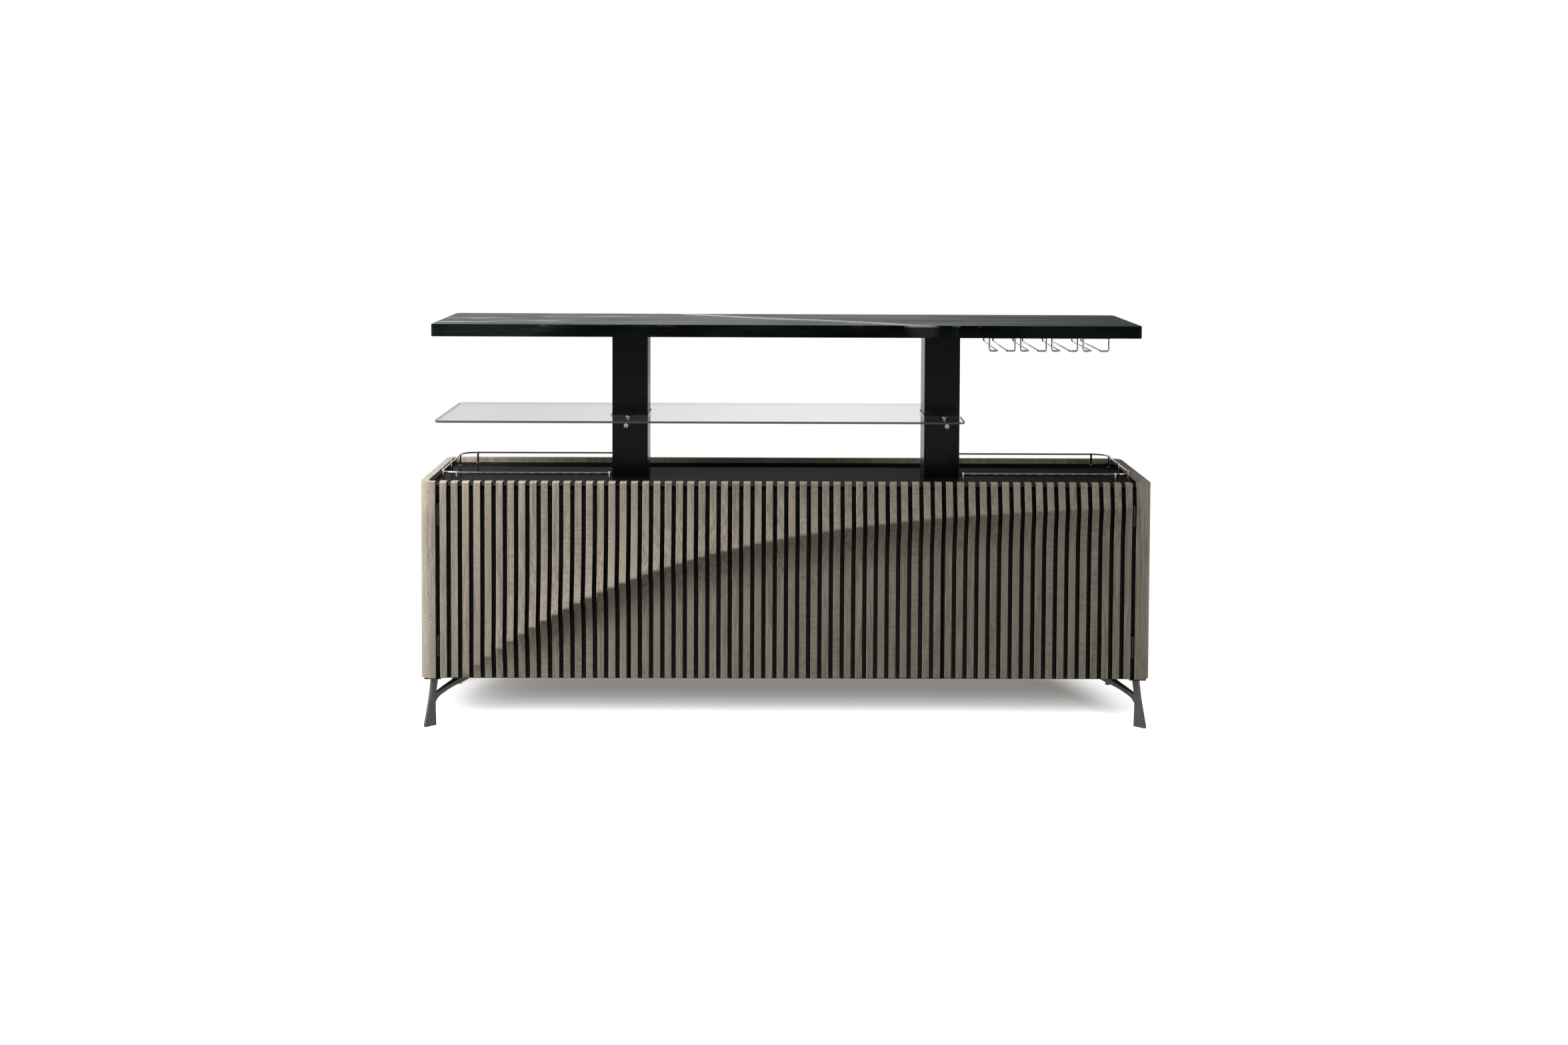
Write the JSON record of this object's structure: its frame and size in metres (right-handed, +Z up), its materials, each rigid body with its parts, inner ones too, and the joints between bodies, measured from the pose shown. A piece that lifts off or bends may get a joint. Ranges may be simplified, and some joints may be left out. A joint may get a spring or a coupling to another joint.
{
  "type": "bar sideboard",
  "caption": "Slatted bar cabinet on metal legs with side doors, a centre drawer, a stone counter on columns, a glass shelf, gallery rails and a stemware rack.",
  "frame": {"origin": "bottom centre of the bounding box, on the floor", "axes": "+X to the right seen from the front, +Y from the slatted front to the back, +Z up"},
  "size_m": [2, 0.558, 1.105],
  "materials": {
    "ash_greige": "open-grain ash veneer, greige stain, satin",
    "ash_inner": "straight-grain ash veneer, satin",
    "black_board": "black lacquered board, satin",
    "black_glass": "back-painted black glass, polished",
    "clear_glass": "clear tempered glass, polished edge",
    "dark_stone": "dark green-grey stone with pale veins, honed",
    "black_metal": "black powder coat, satin",
    "black_plastic": "matte",
    "cast_anthracite": "anthracite metallic, satin",
    "chrome": "polished",
    "zinc_steel": "zinc plated"
  },
  "bodies": {
    "root": {"left_side_shell": "ash_greige", "right_side_shell": "ash_greige", "back_panel": "ash_greige", "base_board": "black_board", "floor_panel": "ash_inner", "top_panel": "black_board", "deck_glass": "black_glass", "left_divider": "ash_inner", "right_divider": "ash_inner", "left_shelf": "ash_inner", "right_shelf": "ash_inner", "left_door_catch": "black_plastic", "right_door_catch": "black_plastic", "front_left_leg": "cast_anthracite", "front_right_leg": "cast_anthracite", "rear_left_leg": "cast_anthracite", "rear_right_leg": "cast_anthracite", "left_column": "black_metal", "right_column": "black_metal", "counter_core": "black_board", "counter_top": "dark_stone", "glass_shelf": "clear_glass", "left_shelf_bar": "chrome", "right_shelf_bar": "chrome", "left_front_shelf_cap": "chrome", "left_rear_shelf_cap": "chrome", "right_front_shelf_cap": "chrome", "right_rear_shelf_cap": "chrome", "left_gallery_rail": "chrome", "right_gallery_rail": "chrome", "stemware_holder_1": "chrome", "stemware_holder_2": "chrome", "stemware_holder_3": "chrome", "stemware_holder_4": "chrome", "left_lower_hinge_post_leaf": "black_metal", "left_upper_hinge_post_leaf": "black_metal", "right_lower_hinge_post_leaf": "black_metal", "right_upper_hinge_post_leaf": "black_metal", "left_runner_outer": "zinc_steel", "right_runner_outer": "zinc_steel"},
    "left_door": {"left_door_panel": "black_board", "left_door_slats": "ash_greige", "left_lower_hinge_door_leaf": "black_metal", "left_upper_hinge_door_leaf": "black_metal"},
    "right_door": {"right_door_panel": "black_board", "right_door_slats": "ash_greige", "right_lower_hinge_door_leaf": "black_metal", "right_upper_hinge_door_leaf": "black_metal"},
    "drawer": {"drawer_front_panel": "black_board", "drawer_slats": "ash_greige", "drawer_bottom": "ash_inner", "drawer_back": "ash_inner", "left_drawer_side": "ash_inner", "right_drawer_side": "ash_inner", "left_runner_inner": "zinc_steel", "right_runner_inner": "zinc_steel"},
    "left_runner": {"left_runner_middle": "zinc_steel"},
    "right_runner": {"right_runner_middle": "zinc_steel"}
  },
  "joints": [
    {"name": "left_door_hinge", "type": "hinge", "parent": "root", "child": "left_door", "pos_m": [-0.95106, -0.238, 0.4], "axis": [0, 0, -1], "range_deg": [0, 90]},
    {"name": "right_door_hinge", "type": "hinge", "parent": "root", "child": "right_door", "pos_m": [0.95106, -0.238, 0.4], "axis": [0, 0, 1], "range_deg": [0, 90]},
    {"name": "drawer_slide", "type": "slide", "parent": "root", "child": "drawer", "axis": [0, -1, 0], "range_m": [0, 0.4]},
    {"name": "left_runner_slide", "type": "slide", "parent": "root", "child": "left_runner", "axis": [0, -1, 0], "range_m": [0, 0.2]},
    {"name": "right_runner_slide", "type": "slide", "parent": "root", "child": "right_runner", "axis": [0, -1, 0], "range_m": [0, 0.2]}
  ],
  "couplings": [
    {"joint": "left_runner_slide", "follows": "drawer_slide", "ratio": 0.5},
    {"joint": "right_runner_slide", "follows": "drawer_slide", "ratio": 0.5}
  ]
}
